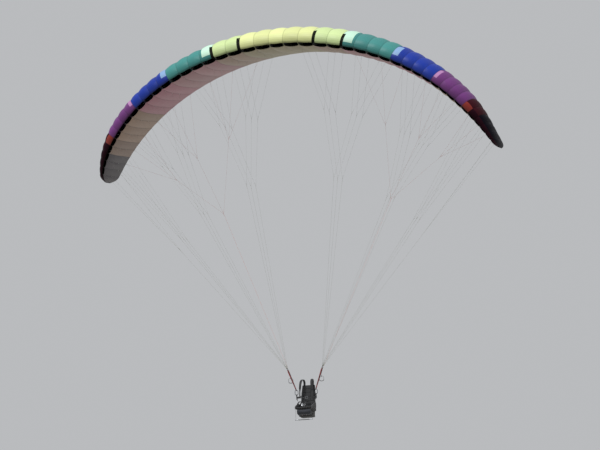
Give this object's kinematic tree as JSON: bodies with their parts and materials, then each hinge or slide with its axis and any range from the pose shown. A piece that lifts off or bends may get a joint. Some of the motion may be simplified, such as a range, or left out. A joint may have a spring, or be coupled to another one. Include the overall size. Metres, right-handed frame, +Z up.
{
  "type": "paraglider",
  "caption": "Solo paraglider in flight: arched ram-air canopy in colour bands, branching lines, risers, brake handles that pull down, and a seat harness that swings on its carabiners.",
  "frame": {"origin": "the chord line of the centre cell, at 30 % of its chord; the air holds the wing up there", "axes": "+Z up, nose and pilot's front towards -Y, +X towards the pilot's left wing tip"},
  "size_m": [9.1896, 2.75, 8.7263],
  "materials": {
    "cloth_yellow": "satin",
    "cloth_lime": "satin",
    "cloth_green": "satin",
    "cloth_blue": "satin",
    "cloth_purple": "satin",
    "cloth_red": "satin",
    "cloth_black": "satin",
    "line": "matte",
    "brake_line": "matte",
    "webbing": "matte",
    "steel": "polished",
    "alloy": "satin",
    "harness_cloth": "matte",
    "seat_wood": "satin",
    "reserve_red": "matte"
  },
  "bodies": {
    "wing": {"canopy_yellow_centre": "cloth_yellow", "canopy_lime_left": "cloth_lime", "canopy_lime_right": "cloth_lime", "canopy_green_left": "cloth_green", "canopy_green_right": "cloth_green", "canopy_blue_left": "cloth_blue", "canopy_blue_right": "cloth_blue", "canopy_purple_left": "cloth_purple", "canopy_purple_right": "cloth_purple", "canopy_red_left": "cloth_red", "canopy_red_right": "cloth_red", "canopy_black_left": "cloth_black", "canopy_black_right": "cloth_black", "a_lines_left": "line", "a_lines_right": "line", "b_lines_left": "line", "b_lines_right": "line", "c_lines_left": "line", "c_lines_right": "line", "stabilo_line_left": "line", "stabilo_line_right": "line", "brake_lines_left": "brake_line", "brake_lines_right": "brake_line", "risers_left": "webbing", "risers_right": "webbing", "maillon_a_left": "steel", "maillon_a_right": "steel", "maillon_b_left": "steel", "maillon_b_right": "steel", "maillon_c_left": "steel", "maillon_c_right": "steel", "brake_pulley_left": "alloy", "brake_pulley_right": "alloy"},
    "left_brake": {"brake_handle_left": "webbing"},
    "right_brake": {"brake_handle_right": "webbing"},
    "harness": {"carabiner_left": "alloy", "carabiner_right": "alloy", "hang_webbing": "webbing", "chest_strap": "webbing", "shoulder_strap_left": "harness_cloth", "shoulder_strap_right": "harness_cloth", "leg_strap_left": "webbing", "leg_strap_right": "webbing", "seat_board": "seat_wood", "seat_shell": "harness_cloth", "back_panel": "harness_cloth", "back_protector": "harness_cloth", "reserve_container": "harness_cloth", "reserve_handle": "reserve_red", "speed_bar": "alloy"}
  },
  "joints": [
    {"name": "harness_swing", "type": "hinge", "parent": "wing", "child": "harness", "pos_m": [0, 0.05, -7.7], "axis": [1, 0, 0], "range_deg": [-30, 30]},
    {"name": "brake_left", "type": "slide", "parent": "wing", "child": "left_brake", "axis": [0, 0, -1], "range_m": [0, 0.55], "stiffness_N_per_m": 10, "springref_m": -0.03},
    {"name": "brake_right", "type": "slide", "parent": "wing", "child": "right_brake", "axis": [0, 0, -1], "range_m": [0, 0.55], "stiffness_N_per_m": 10, "springref_m": -0.03}
  ]
}
